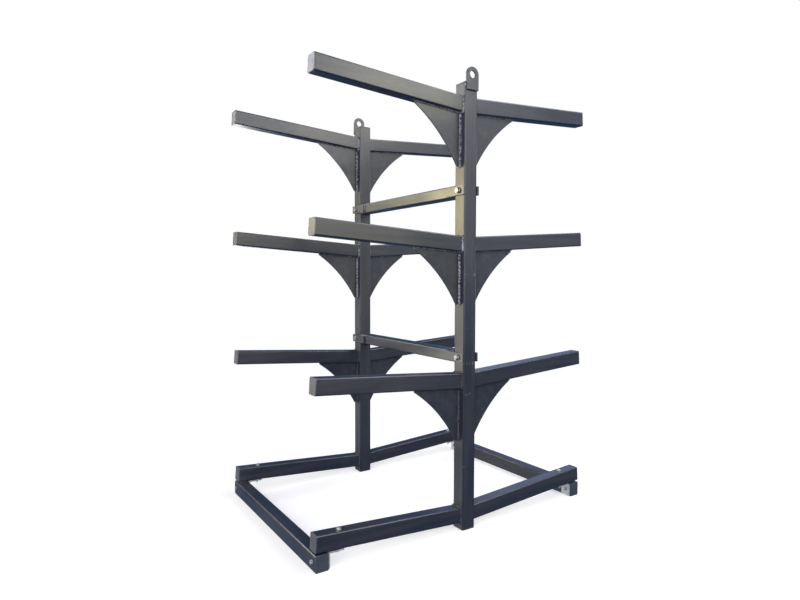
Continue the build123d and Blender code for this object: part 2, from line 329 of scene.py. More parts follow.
# Painted shade by height: the highlights fade out below about 0.7 m, so the low beads stay darker.
upper = ramp(weld_tree, half_height, (0.34, 0.12), (0.42, 1.0))
painted_glints = calculate(weld_tree, "MULTIPLY", painted_glints, upper)
mottled = blend_colours(weld_tree, painted_glints, painted, PAINTED_GLINT)
weld_tree.links.new(mottled, weld_shader.inputs["Base Color"])
print("weld finish:", weld_paint.name)


# %% A spot of bare primer
def bare_primer():
    """Yellowish primer in patches."""
    material, tree, shader, place = new_finish("primer_spot")
    patches = add(tree, "ShaderNodeTexNoise", {"Vector": place, "Scale": 260.0, "Detail": 3.0})
    colour = ramp(tree, patches.outputs["Fac"], (0.42, (0.05, 0.05, 0.055)), (0.55, (0.36, 0.30, 0.16)))
    tree.links.new(colour, shader.inputs["Base Color"])
    shader.inputs["Roughness"].default_value = 0.55
    bump = add(tree, "ShaderNodeBump", {
        "Strength": 0.3, "Distance": 0.0004, "Height": patches.outputs["Fac"]})
    tree.links.new(bump.outputs["Normal"], shader.inputs["Normal"])
    return material


primer_spot = bare_primer()
print("primer:", primer_spot.name)

# %% [markdown]
# ## Zinc and galvanised steel
#
# The bolts, washers and nuts are zinc plate: a metal with the faint rings and scratches of turning
# and handling. The brace bolts and their washers, and the crossbar nuts, are a darker zinc. The
# angle brackets under the legs are galvanised, which crystallises into large dull spangles. Voronoi
# cells make the spangles, each a slightly different grey and a slightly different roughness.


# %% The two bare metals
def zinc(name, dull, bright):
    """Zinc plate, clouded between two greys."""
    material, tree, shader, place = new_finish(name)
    drawn_out = add(tree, "ShaderNodeMapping", {"Vector": place, "Scale": (1800, 1800, 240)})
    scratches = add(tree, "ShaderNodeTexNoise", {
        "Vector": drawn_out.outputs["Vector"], "Scale": 1.0, "Detail": 2.0})
    bloom = add(tree, "ShaderNodeTexNoise", {"Vector": place, "Scale": 160.0, "Detail": 3.0})
    colour = ramp(tree, bloom.outputs["Fac"], (0.35, dull), (0.62, bright))
    worn = calculate(tree, "MULTIPLY", edge_mask(tree, 0.0006), 0.5)
    tree.links.new(blend_colours(tree, worn, colour, (0.92, 0.92, 0.90)), shader.inputs["Base Color"])
    sheen = ramp(tree, bloom.outputs["Fac"], (0.3, 0.22), (0.7, 0.42))
    tree.links.new(sheen, shader.inputs["Roughness"])
    shader.inputs["Metallic"].default_value = 0.75
    bump = add(tree, "ShaderNodeBump", {
        "Strength": 0.12, "Distance": 0.0001, "Height": scratches.outputs["Fac"]})
    tree.links.new(bump.outputs["Normal"], shader.inputs["Normal"])
    return material


def galvanised():
    """Dull sheet steel with crystal spangles."""
    material, tree, shader, place = new_finish("galvanised_sheet")
    cells = add(tree, "ShaderNodeTexVoronoi", {"Vector": place, "Scale": 170.0})
    grey = add(tree, "ShaderNodeSeparateColor", {"Color": cells.outputs["Color"]}).outputs["Red"]
    bloom = add(tree, "ShaderNodeTexNoise", {"Vector": place, "Scale": 60.0, "Detail": 4.0})
    spangles = ramp(tree, grey, (0.0, (0.66, 0.66, 0.63)), (1.0, (0.86, 0.86, 0.82)))
    chalk = ramp(tree, bloom.outputs["Fac"], (0.45, 0.0), (0.70, 0.6))
    tree.links.new(blend_colours(tree, chalk, spangles, (0.88, 0.87, 0.83)), shader.inputs["Base Color"])
    tree.links.new(ramp(tree, grey, (0.0, 0.38), (1.0, 0.56)), shader.inputs["Roughness"])
    shader.inputs["Metallic"].default_value = 0.85
    bump = add(tree, "ShaderNodeBump", {
        "Strength": 0.15, "Distance": 0.0002, "Height": bloom.outputs["Fac"]})
    tree.links.new(bump.outputs["Normal"], shader.inputs["Normal"])
    return material


zinc_plated = zinc("zinc_plated", (0.60, 0.60, 0.57), (0.80, 0.80, 0.78))
# A darker copy of the zinc, for the brace bolts, their washers and the crossbar nuts.
zinc_darker = zinc("zinc_darker", (0.30, 0.30, 0.32), (0.50, 0.50, 0.51))
galvanised_sheet = galvanised()
print("metals:", zinc_plated.name, zinc_darker.name, galvanised_sheet.name)

# %% [markdown]
# ## Turning a mesh into a piece of the rack
#
# Each new piece is drawn in a bmesh, Blender's editable mesh. One helper turns it into an object,
# tells the frame that it rides on the rack's only body, and hides the CAD node that it replaces.
#
# A flat face next to a small rounded edge shades badly, because its corners borrow the edge's
# directions. The Weighted Normal modifier gives the large faces the say, so they stay flat.

# %% Making a piece
SHARP = radians(40)


def make_piece(name, bm, finish, slot, *nodes):
    """Puts a bmesh into the scene as a piece that rides on the rack."""
    for face in bm.faces:
        face.smooth = True
    for edge in bm.edges:
        edge.smooth = edge.is_manifold and edge.calc_face_angle(0) < SHARP
    mesh = bpy.data.meshes.new(name)
    bm.to_mesh(mesh)
    bm.free()
    mesh.materials.append(finish)
    piece = bpy.data.objects.new(name, mesh)
    bpy.context.scene.collection.objects.link(piece)
    even = piece.modifiers.new("even_shading", "WEIGHTED_NORMAL")
    even.keep_sharp = True
    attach(piece, "root")
    if nodes:
        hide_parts(*nodes)
    print(f"{name}: {len(mesh.polygons)} faces")
    return piece


print("edges sharper than", round(degrees(SHARP)), "degrees stay sharp")


# %% Stamping copies of a mesh
def stamp(bm, mesh, matrix):
    """Adds a copy of a mesh at a place."""
    before = len(bm.verts)
    bm.from_mesh(mesh)
    bm.verts.ensure_lookup_table()
    bmesh.ops.transform(bm, matrix=matrix, verts=bm.verts[before:])


def as_mesh(bm, name):
    """Keeps a bmesh as a mesh that can be stamped."""
    mesh = bpy.data.meshes.new(name)
    bm.to_mesh(mesh)
    bm.free()
    return mesh


print("stamp and as_mesh ready")

# %% [markdown]
# ## Plates with softened edges
#
# The gussets, ears, lugs, caps and brackets are cut from plate. A cut edge is never knife-sharp:
# it is deburred, and the paint rounds it a little more, so it catches a thin line of light. The
# CAD solids have sharp edges. A copy of each is welded into one skin, its flat triangles are
# dissolved into whole faces, and the sharp edges are bevelled. A Bevel modifier would do it too,
# but not on the loose triangles that a CAD mesh is made of.


# %% Bevel a copy of a CAD plate
PLATE_EDGE = 0.0008
SHEET_EDGE = 0.0006


def bevelled(bm, width):
    """Rounds the sharp edges."""
    sharp = [e for e in bm.edges if e.is_manifold and e.calc_face_angle(0) > SHARP]
    bmesh.ops.bevel(
        bm, geom=sharp, offset=width, segments=2, profile=0.5,
        affect="EDGES", material=-1, clamp_overlap=True)
    return bm


def softened(node, width):
    """A copy of a CAD node with its sharp edges rounded."""
    bm = bmesh.new()
    bm.from_mesh(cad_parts[node].data)
    bmesh.ops.remove_doubles(bm, verts=bm.verts, dist=1e-5)
    bmesh.ops.dissolve_limit(bm, angle_limit=radians(0.5), verts=bm.verts, edges=bm.edges)
    return bevelled(bm, width)


plates = [f"{f}_gusset_{s}_{l}" for f in FRAMES for s in SIDES for l in LEVELS]
plates += [f"{level}_brace_{f}_ears" for f in FRAMES for level in ("lower", "upper")]
plates += [f + part for f in FRAMES for part in ("_lifting_lug", "_post_foot_plate", "_post_top_cap")]
plates += ["arm_end_caps", "leg_end_caps", "crossbar_end_caps"]
for node in plates:
    paint = brace_paint if "ears" in node else cap_paint if "end_caps" in node else plate_paint
    make_piece(node + "_deburred", softened(node, PLATE_EDGE), paint, "powder_coat", node)
for node in [f"{f}_{s}_angle_bracket" for f in FRAMES for s in SIDES]:
    make_piece(node + "_folded", softened(node, SHEET_EDGE), galvanised_sheet, "galvanised", node)

# %% [markdown]
# ## Weld beads
#
# The arms, legs, gussets, ears and lugs are welded on. A bead is a row of overlapping ripples,
# each where the puddle paused. The bead follows a path: a small ring of edges is pulled along it
# with extrude, one millimetre at a time, and its size swells and shrinks once per ripple, and
# drifts a little as a hand does. Half of the ring sinks into the steel, so only the rounded
# outside shows.
#
# A Curve object with a bevel would also make a tube, but this way each ripple is real geometry
# that stays when the model is exported.

# %% A path with rounded corners, in even steps
BEAD_STEP = 0.001
RIPPLE = 0.0042
BEAD_SIDES = 8


def rounded(corners, radius, closed):
    """Points along straight runs whose corners are rounded off."""
    points = []
    for i, corner in enumerate(corners):
        if not closed and i in (0, len(corners) - 1):
            points.append(corner)
            continue
        back = (corners[i - 1] - corner).normalized() * radius
        on = (corners[(i + 1) % len(corners)] - corner).normalized() * radius
        points += interpolate_bezier(
            corner + back, corner + back * 0.45, corner + on * 0.45, corner + on, 5)
    return points


def even_steps(points, closed, step):
    """The same path as evenly spaced places, each a point and a heading."""
    line = points + points[:1] if closed else points
    lengths = [(b - a).length for a, b in zip(line, line[1:])]
    count = max(4, round(sum(lengths) / step))
    places = []
    for i in range(count if closed else count + 1):
        away, k = sum(lengths) * i / count, 0
        while k < len(lengths) - 1 and away > lengths[k]:
            away -= lengths[k]
            k += 1
        heading = (line[k + 1] - line[k]).normalized()
        places.append((line[k] + heading * away, heading))
    return places


print("ripples every", RIPPLE * 1000, "mm")


# %% Pull a ring of edges along the path
def bead(corners, size, across, closed=False, corner_radius=0.004, shift=0.0, ripple=0.2):
    """One weld bead. across is the direction that the flat path's plane faces."""
    places = even_steps(rounded(corners, corner_radius, closed), closed, BEAD_STEP)
    bm = bmesh.new()
    ring = bmesh.ops.create_circle(bm, segments=BEAD_SIDES, radius=1.0)["verts"]
    edges = first = list(bm.edges)
    last = Matrix.Identity(4)
    for i, (point, heading) in enumerate(places):
        along = i * BEAD_STEP
        swell = 1 - ripple + ripple * abs(sin(pi * along / RIPPLE))
        swell *= 1 + 0.16 * noise(Vector((along / 0.011, shift, 0.5)))
        if not closed:
            end = min(i, len(places) - 1 - i) * BEAD_STEP / size
            swell *= sqrt(max(0.05, 1 - (1 - min(1.0, end)) ** 2))
        turn = Matrix((across, heading.cross(across), heading)).transposed().to_4x4()
        here = Matrix.Translation(point) @ turn @ Matrix.Scale(size * swell, 4)
        if i:
            pulled = bmesh.ops.extrude_edge_only(bm, edges=edges)["geom"]
            ring = [g for g in pulled if isinstance(g, bmesh.types.BMVert)]
            new_edges = [g for g in pulled if isinstance(g, bmesh.types.BMEdge)]
            edges = [e for e in new_edges if all(v in ring for v in e.verts)]
        bmesh.ops.transform(bm, matrix=here @ last.inverted(), verts=ring)
        last = here
    if closed:
        bmesh.ops.bridge_loops(bm, edges=edges + first)
    else:
        bmesh.ops.holes_fill(bm, edges=[e for e in bm.edges if e.is_boundary])
    bmesh.ops.recalc_face_normals(bm, faces=bm.faces)
    return bm


X_AXIS, Y_AXIS, Z_AXIS = Vector((1, 0, 0)), Vector((0, 1, 0)), Vector((0, 0, 1))
ARM_OUT = Vector((cos(ARM_RISE), 0, sin(ARM_RISE)))
ARM_UP = Vector((-sin(ARM_RISE), 0, cos(ARM_RISE)))
MIRROR_X = Matrix.Scale(-1, 4, X_AXIS)
print("one bead step is", BEAD_STEP * 1000, "mm")

# %% [markdown]
# ### Gussets to posts
#
# The fattest bead runs down each gusset where it stands on the post, wraps under the toe and comes
# back up behind. Three different beads are made once and stamped on all twelve gussets, mirrored
# for the left-hand side.

# %% Beads down the gussets
GUSSET_BEAD = 0.0066
BEAD_CORNER = 0.0029
BELOW_ARM = 0.004
VARIANTS = 3
gusset_low, gusset_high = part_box("front_gusset_right_low")
GUSSET_FRONT = gusset_low.y - POST_Y["front"]
GUSSET_BACK = gusset_high.y - POST_Y["front"]
GUSSET_REACH = gusset_high.x
GUSSET_TOP = -ROOT_HALF_HEIGHT
GUSSET_HEEL = gusset_low.z - ROOT_Z["low"]


def facing_side(side):
    """Mirrors a right-hand piece for the left."""
    return Matrix.Identity(4) if side > 0 else MIRROR_X


def gusset_bead(shift):
    """The bead round a right-hand gusset, measured from the arm's root on the post's centreline."""
    corners = [
        Vector((HALF_POST, GUSSET_FRONT, GUSSET_TOP - BELOW_ARM)),
        Vector((HALF_POST, GUSSET_FRONT, GUSSET_HEEL)),
        Vector((HALF_POST, GUSSET_BACK, GUSSET_HEEL)),
        Vector((HALF_POST, GUSSET_BACK, GUSSET_TOP - BELOW_ARM))]
    made = bead(corners, GUSSET_BEAD, X_AXIS, corner_radius=BEAD_CORNER, shift=shift)
    return as_mesh(made, "gusset_bead")


gusset_beads = [gusset_bead(3.7 * i) for i in range(VARIANTS)]
everywhere = [(f, side, level) for f in FRAMES for side in SIDES.values() for level in LEVELS]


def on_every_arm(name, meshes, finish):
    """Stamps beads at the root of every arm, taking the variants in turn."""
    bm = bmesh.new()
    for i, (f, side, level) in enumerate(everywhere):
        place = Matrix.Translation((0, POST_Y[f], ROOT_Z[level])) @ facing_side(side)
        stamp(bm, meshes[i % len(meshes)], place)
    bmesh.ops.recalc_face_normals(bm, faces=bm.faces)
    return make_piece(name, bm, finish, "powder_coat")


on_every_arm("gusset_post_welds", gusset_beads, weld_paint)

# %% [markdown]
# ### Gussets to arms
#
# A thinner bead runs out under the arm, along both faces of the gusset and round its nose. The
# path lies in the arm's underside, so it rises with the arm.

# %% Beads under the arms
UNDER_BEAD = 0.0036
NOSE_PRIMER = 0.0040
OFF_POST = 0.005


def under_arm(x, y):
    """A point on a right-hand arm's underside, measured from its root."""
    return Vector((x, y, GUSSET_TOP + (x - HALF_POST) * tan(ARM_RISE)))


def under_bead(shift):
    """The bead along both faces of a gusset and round its nose."""
    corners = [
        under_arm(HALF_POST + OFF_POST, GUSSET_FRONT),
        under_arm(GUSSET_REACH, GUSSET_FRONT),
        under_arm(GUSSET_REACH, GUSSET_BACK),
        under_arm(HALF_POST + OFF_POST, GUSSET_BACK)]
    made = bead(corners, UNDER_BEAD, ARM_UP, corner_radius=BEAD_CORNER, shift=shift)
    return as_mesh(made, "under_bead")


def nose_spot(shift):
    """A short run of primer, just outside the bead at the nose."""
    corners = [
        under_arm(GUSSET_REACH - 0.003, GUSSET_FRONT - 0.0006),
        under_arm(GUSSET_REACH + 0.001, GUSSET_FRONT - 0.0006),
        under_arm(GUSSET_REACH + 0.001, GUSSET_BACK - 0.003)]
    return as_mesh(bead(corners, NOSE_PRIMER, ARM_UP, corner_radius=0.002, shift=shift), "nose_spot")


on_every_arm("gusset_arm_welds", [under_bead(11 + 2.3 * i) for i in range(VARIANTS)], weld_paint)
on_every_arm("gusset_nose_spots", [nose_spot(21 + 1.9 * i) for i in range(VARIANTS)], primer_spot)

# %% [markdown]
# ### Arms and legs to posts
#
# A bead goes all the way round the root of every arm and leg. Each is a closed loop in the plane
# of the post's side, with the tube's own rounded corners.

# %% Beads round the roots
ROOT_BEAD = 0.0048
TUBE_CORNER = 0.005


def box_loop(centre, first, second):
    """The four corners of a rectangle from its middle and its two half sides."""
    return [
        centre + first + second, centre - first + second,
        centre - first - second, centre + first - second]


def root_bead(shift):
    """The bead round an arm, on the side of the post."""
    loop = box_loop(
        Vector((HALF_POST, ARM_Y["front"] - POST_Y["front"], 0)),
        Y_AXIS * ARM_HALF_WIDTH, Z_AXIS * ROOT_HALF_HEIGHT)
    made = bead(loop, ROOT_BEAD, X_AXIS, closed=True, corner_radius=TUBE_CORNER, shift=shift)
    return as_mesh(made, "root_bead")


root_beads = [root_bead(31 + 4.1 * i) for i in range(VARIANTS)]
on_every_arm("arm_post_welds", root_beads, weld_paint)
bm = bmesh.new()
for i, (f, side) in enumerate((f, side) for f in FRAMES for side in SIDES.values()):
    stamp(bm, root_beads[i % VARIANTS], Matrix.Translation((0, POST_Y[f], LEG_Z)) @ facing_side(side))
bmesh.ops.recalc_face_normals(bm, faces=bm.faces)
make_piece("leg_post_welds", bm, weld_paint, "powder_coat")

# %% [markdown]
# ### Caps, lugs and ears
#
# The end caps are welded round and ground almost flush, which leaves a hairline seam. Those of the
# crossbars are ground right off, because the crossbars lie on the floor. The lugs are held by short
# beads at the top of the post, on its corners and along its top edge, and the ears by a bead round
# the part that overlaps the brace.

# %% Seams round the end caps
SEAM = 0.0011
SEAM_SUNK = 0.0006
SEAM_HIDDEN = 0.0013
ARM_SEAM_AT = 0.616


def seam(centre, first, second, across, shift, sunk=SEAM_SUNK):
    """A ground seam round a tube: the rectangle shrinks a little so that the seam barely shows."""
    loop = box_loop(centre, first - first.normalized() * sunk, second - second.normalized() * sunk)
    return bead(loop, SEAM, across, closed=True, corner_radius=TUBE_CORNER, shift=shift, ripple=0.1)


tip = Vector((HALF_POST, ARM_Y["front"] - POST_Y["front"], 0)) + ARM_OUT * ARM_SEAM_AT
tip_seam = as_mesh(seam(tip, Y_AXIS * ARM_HALF_WIDTH, ARM_UP * ARM_HALF_HEIGHT, ARM_OUT, 41), "tip_seam")
on_every_arm("arm_cap_seams", [tip_seam], plate_paint)

bm = bmesh.new()
for f in FRAMES:
    for side in SIDES.values():
        stamp(bm, tip_seam, Matrix.Translation((0, POST_Y[f], LEG_Z)) @ facing_side(side))
    for height in (post_low.z, TUBE_TOP):
        middle = Vector((0, POST_Y[f], height))
        ends = seam(middle, X_AXIS * HALF_POST, Y_AXIS * HALF_POST, Z_AXIS, 43 + height)
        stamp(bm, as_mesh(ends, "post_seam"), Matrix.Identity(4))
for bar in ("left_crossbar", "right_crossbar"):
    low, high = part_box(bar)
    middle, half = (low + high) / 2, (high - low) / 2
    for y in (low.y, high.y):
        at = Vector((middle.x, y, middle.z))
        ends = seam(at, X_AXIS * half.x, Z_AXIS * half.z, Y_AXIS, 47 + y, SEAM_HIDDEN)
        stamp(bm, as_mesh(ends, "bar_seam"), Matrix.Identity(4))
bmesh.ops.recalc_face_normals(bm, faces=bm.faces)
make_piece("base_cap_seams", bm, plate_paint, "powder_coat")

# %% Beads on lugs and ears
LUG_BEAD = 0.0030
LUG_BEAD_INSET = 0.003
EAR_BEAD = 0.0028
EAR_OVERLAP = 0.044
bm = bmesh.new()
for f in FRAMES:
    low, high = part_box(f + "_lifting_lug")
    face = POST_Y[f] - HALF_POST if f == "front" else POST_Y[f] + HALF_POST
    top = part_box(f + "_post_top_cap")[1].z
    across = HALF_POST - 0.004
    lines = [[Vector((-across, face, top)), Vector((across, face, top))]]
    for x in (-HALF_POST, HALF_POST):
        bottom_end = Vector((x, face, low.z + LUG_BEAD_INSET))
        lines.append([bottom_end, Vector((x, face, top - LUG_BEAD_INSET))])
    for i, line in enumerate(lines):
        stamp(bm, as_mesh(bead(line, LUG_BEAD, Y_AXIS, shift=51 + i), "lug_bead"), Matrix.Identity(4))
    for level in ("lower", "upper"):
        ear_low, ear_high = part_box(f"{level}_brace_{f}_ears")
        away = -1 if f == "front" else 1
        inner = min(abs(ear_low.y), abs(ear_high.y)) * away
        outer = inner + EAR_OVERLAP * away
        for x in (-HALF_POST, HALF_POST):
            hook = [
                Vector((x, outer, ear_high.z)), Vector((x, inner, ear_high.z)),
                Vector((x, inner, ear_low.z)), Vector((x, outer, ear_low.z))]
            made = bead(hook, EAR_BEAD, X_AXIS, corner_radius=0.003, shift=57 + x * 40)
            stamp(bm, as_mesh(made, "ear_bead"), Matrix.Identity(4))
bmesh.ops.recalc_face_normals(bm, faces=bm.faces)
make_piece("lug_and_ear_welds", bm, weld_paint, "powder_coat")

# %% [markdown]
# ## Bolts, washers and nuts
#
# Each bolt is drawn once, standing on the origin with its head up, and stamped where it belongs.
# A hexagon head starts as a six-sided prism. On the real one a lathe turns its corners off at 30
# degrees, so a ring of tilted planes slices them away here. The threaded shank is one outline,
# with a tooth for each turn of the thread, spun round the axis.

# %% A hexagon with its corners turned off
CUTS = 24
TURN_ANGLE = radians(30)
TURNED_FACE = 0.475
MACHINED_EDGE = 0.0003


def turned_hexagon(across_flats, height, both_ends=False):
    """A hexagonal prism from Z = 0 up, chamfered on top, and below if both_ends."""
    bm = bmesh.new()
    corner = across_flats / sqrt(3)
    bmesh.ops.create_cone(
        bm, cap_ends=True, segments=6, radius1=corner, radius2=corner, depth=height,
        matrix=Matrix.Translation((0, 0, height / 2)))
    face_radius = across_flats * TURNED_FACE
    for end, up in ((height, 1), (0.0, -1)):
        if up < 0 and not both_ends:
            break
        for i in range(CUTS):
            turn = 2 * pi * i / CUTS
            out = Vector((cos(turn), sin(turn), 0))
            bmesh.ops.bisect_plane(
                bm, geom=bm.verts[:] + bm.edges[:] + bm.faces[:], dist=1e-7,
                plane_co=out * face_radius + Z_AXIS * end,
                plane_no=out * sin(TURN_ANGLE) + Z_AXIS * up * cos(TURN_ANGLE), clear_outer=True)
            bmesh.ops.holes_fill(bm, edges=[e for e in bm.edges if e.is_boundary])
    bmesh.ops.recalc_face_normals(bm, faces=bm.faces)
    return bm


print(CUTS, "cuts turn the corners off each end of a hexagon")

# %% A threaded shank
THREADED = 0.024
SPIN_STEPS = 28


def spun(bm, steps=SPIN_STEPS):
    """Turns an outline round the Z axis and closes it."""
    bmesh.ops.spin(
        bm, geom=bm.verts[:] + bm.edges[:], cent=(0, 0, 0), axis=Z_AXIS,
        angle=2 * pi, steps=steps, use_merge=True)
    bmesh.ops.remove_doubles(bm, verts=bm.verts, dist=1e-6)
    bmesh.ops.recalc_face_normals(bm, faces=bm.faces)
    return bm


def chain(bm, points):
    """A line of vertices joined by edges."""
    verts = [bm.verts.new(p) for p in points]
    return [bm.edges.new(pair) for pair in zip(verts, verts[1:])]


def shank(radius, length, pitch):
    """A threaded shank from Z = 0 down."""
    bm = bmesh.new()
    bevel = radius * 0.16
    end = -length
    top = end + bevel + THREADED
    edges = chain(bm, [
        Vector((0, 0, end)), Vector((radius - bevel, 0, end)), Vector((radius, 0, end + bevel)),
        Vector((radius, 0, top)), Vector((radius, 0, 0)), Vector((0, 0, 0))])
    turns = int(THREADED / pitch)
    cut = bmesh.ops.subdivide_edges(bm, edges=[edges[2]], cuts=2 * turns - 1)
    roots = [g for g in cut["geom_inner"] if isinstance(g, bmesh.types.BMVert)]
    for vert in roots:
        tooth = round((vert.co.z - end - bevel) / THREADED * 2 * turns)
        if tooth % 2:
            vert.co.x -= pitch * 0.54
    return spun(bm)


def hex_bolt(across_flats, head, radius, length, pitch):
    """A head and a shank, as one mesh."""
    bm = bevelled(turned_hexagon(across_flats, head), MACHINED_EDGE)
    stamp(bm, as_mesh(shank(radius, length, pitch), "shank"), Matrix.Identity(4))
    return as_mesh(bm, "bolt")


print("thread on the last", THREADED * 1000, "mm of each shank")


# %% Nuts and washers
def hex_nut(across_flats, height, radius):
    """A nut with a countersunk hole; the bolt fills the hole."""
    bm = turned_hexagon(across_flats, height, both_ends=True)
    ends = [f for f in bm.faces if abs(f.normal.z) > 0.99 and f.calc_area() > across_flats ** 2 * 0.3]
    bmesh.ops.inset_individual(bm, faces=ends, thickness=across_flats * TURNED_FACE - radius * 1.12)
    for face in ends:
        bmesh.ops.inset_individual(bm, faces=[face], thickness=radius * 0.12, depth=-radius * 0.25)
    return as_mesh(bevelled(bm, MACHINED_EDGE), "nut")


def washer(outer, inner, thickness):
    """A washer with its outer edges rolled over."""
    bm = bmesh.new()
    soft = thickness * 0.22
    corners = [(inner, 0), (outer - soft, 0), (outer, soft), (outer, thickness - soft),
               (outer - soft, thickness), (inner, thickness)]
    edges = chain(bm, [Vector((x, 0, z)) for x, z in corners])
    bm.edges.new((edges[-1].verts[1], edges[0].verts[0]))
    return as_mesh(spun(bm, 40), "washer")


M12 = {"across": 0.019, "head": 0.0075, "nut": 0.0105, "radius": 0.006, "pitch": 0.00175}
M8 = {"across": 0.013, "head": 0.0053, "nut": 0.0065, "radius": 0.004, "pitch": 0.00125}
M12_WASHER = {"outer": 0.012, "inner": 0.0065, "thickness": 0.0025}
M8_WASHER = {"outer": 0.008, "inner": 0.0045, "thickness": 0.0016}
m12_washer = washer(**M12_WASHER)
m8_washer = washer(**M8_WASHER)
m12_nut = hex_nut(M12["across"], M12["nut"], M12["radius"])
m8_nut = hex_nut(M8["across"], M8["nut"], M8["radius"])
print("washer and nut faces:", len(m12_washer.polygons), len(m12_nut.polygons))

# %% [markdown]
# ### Putting the fasteners in
#
# The brace bolts lie along X, with heads on the left and nuts on the right. Each leg is bolted
# down to its bracket, square to the sloping leg. Each crossbar is bolted to the other flange of
# the bracket, heads outside. No two bolts stop at the same turn, so each is rolled a little.

# %% The brace bolts
EAR_T = 0.008
BOLT_END = 0.004


def standing(point, axis, roll):
    """Where a part drawn along +Z goes so that it stands at a point along an axis."""
    along = axis.to_track_quat("Z", "Y").to_matrix().to_4x4()
    return Matrix.Translation(point) @ along @ Matrix.Rotation(roll, 4, "Z")


def set_of(name, node, placed, finish=zinc_plated):
    """One piece from a list of (mesh, matrix)."""
    bm = bmesh.new()
    for mesh, matrix in placed:
        stamp(bm, mesh, matrix)
    return make_piece(name, bm, finish, "zinc_plate", node)


face = HALF_POST + EAR_T
grip = 2 * face + 2 * M12_WASHER["thickness"] + M12["nut"] + BOLT_END
brace_bolt = hex_bolt(M12["across"], M12["head"], M12["radius"], grip, M12["pitch"])
bolts, washers, nuts = [], [], []
for i, f in enumerate(FRAMES):
    for j, level in enumerate(("lower", "upper")):
        z = sum(corner.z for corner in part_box(level + "_brace")) / 2
        roll = 0.35 + 1.1 * i + 0.7 * j
        head_at = Vector((-face - M12_WASHER["thickness"], POST_Y[f], z))
        bolts.append((brace_bolt, standing(head_at, -X_AXIS, roll)))
        nuts.append((m12_nut, standing(Vector((-head_at.x, POST_Y[f], z)), X_AXIS, roll + 0.4)))
        for way in (-1, 1):
            at = Vector((way * face, POST_Y[f], z))
            washers.append((m12_washer, standing(at, X_AXIS * way, 0)))
set_of("brace_bolts_threaded", "brace_bolts", bolts, zinc_darker)
set_of("brace_bolt_washers_rounded", "brace_bolt_washers", washers, zinc_darker)
set_of("brace_bolt_nuts_turned", "brace_bolt_nuts", nuts)

# %% The leg bolts
BRACKET_T = 0.005
LEG_BOLT_AT = 0.525
LEG_BOLT_TAIL = 0.014
grip = 2 * ARM_HALF_HEIGHT + M8_WASHER["thickness"] + BRACKET_T + LEG_BOLT_TAIL
leg_bolt = hex_bolt(M8["across"], M8["head"], M8["radius"], grip, M8["pitch"])
bolts, washers = [], []
for i, f in enumerate(FRAMES):
    for side in SIDES.values():
        out = Vector((side * cos(ARM_RISE), 0, sin(ARM_RISE)))
        up = Vector((-side * sin(ARM_RISE), 0, cos(ARM_RISE)))
        on_top = Vector((side * HALF_POST, ARM_Y[f], LEG_Z)) + out * LEG_BOLT_AT + up * ARM_HALF_HEIGHT
        head_at = on_top + up * M8_WASHER["thickness"]
        bolts.append((leg_bolt, standing(head_at, up, 0.5 + i + side * 0.3)))
        washers.append((m8_washer, standing(on_top, up, 0)))
set_of("leg_bolts_threaded", "leg_bolts", bolts)
set_of("leg_bolt_washers_rounded", "leg_bolt_washers", washers)

# %% The crossbar bolts
bar_low, bar_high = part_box("right_crossbar")
bolt_z = sum(corner.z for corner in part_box("crossbar_bolts")) / 2
inner = bar_low.x - BRACKET_T
grip = M8_WASHER["thickness"] + bar_high.x - inner + M8["nut"] + BOLT_END
bar_bolt = hex_bolt(M8["across"], M8["head"], M8["radius"], grip, M8["pitch"])
bolts, washers, nuts = [], [], []
for i, f in enumerate(FRAMES):
    for side in SIDES.values():
        way = X_AXIS * side
        at = Vector((side * bar_high.x, ARM_Y[f], bolt_z))
        bolts.append((bar_bolt, standing(at + way * M8_WASHER["thickness"], way, 0.2 + i + side * 0.4)))
        washers.append((m8_washer, standing(at, way, 0)))
        nuts.append((m8_nut, standing(Vector((side * inner, ARM_Y[f], bolt_z)), -way, 0.9 * i)))
set_of("crossbar_bolts_threaded", "crossbar_bolts", bolts)
set_of("crossbar_bolt_washers_rounded", "crossbar_bolt_washers", washers)
set_of("crossbar_bolt_nuts_turned", "crossbar_bolt_nuts", nuts, zinc_darker)

# %% [markdown]
# ## Painting the tubes
#
# The posts, arms, legs, braces and crossbars keep their CAD shape: rolled tube with rounded
# corners. They only need the paint.

# %% Give every CAD tube its paint
painted_nodes = 0
for name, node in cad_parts.items():
    if node.hide_render:
        continue
    node.data.materials.clear()
    axis = "Z" if "post" in name else "X" if "arm" in name or "leg" in name else "Y"
    own_paint = {"front_post": post_paint, "lower_brace": brace_paint, "upper_brace": brace_paint}
    node.data.materials.append(own_paint.get(name, tube_paints[axis]))
    painted_nodes += 1
print("CAD nodes painted:", painted_nodes)

# %% [markdown]
# ## Floor
#
# A pale floor that fades away at its rim, so that no horizon crosses the picture. It can't be
# seen from below, which leaves the underside of the rack open to view. It is hidden from the
# paint, because dark gloss paint over a white floor looks washed out. It casts no shadow either, so
# the panels that reach below it light the rack from under it. A faint glow keeps it near white.


# %% A pale floor
FLOOR_RADIUS = 6.0


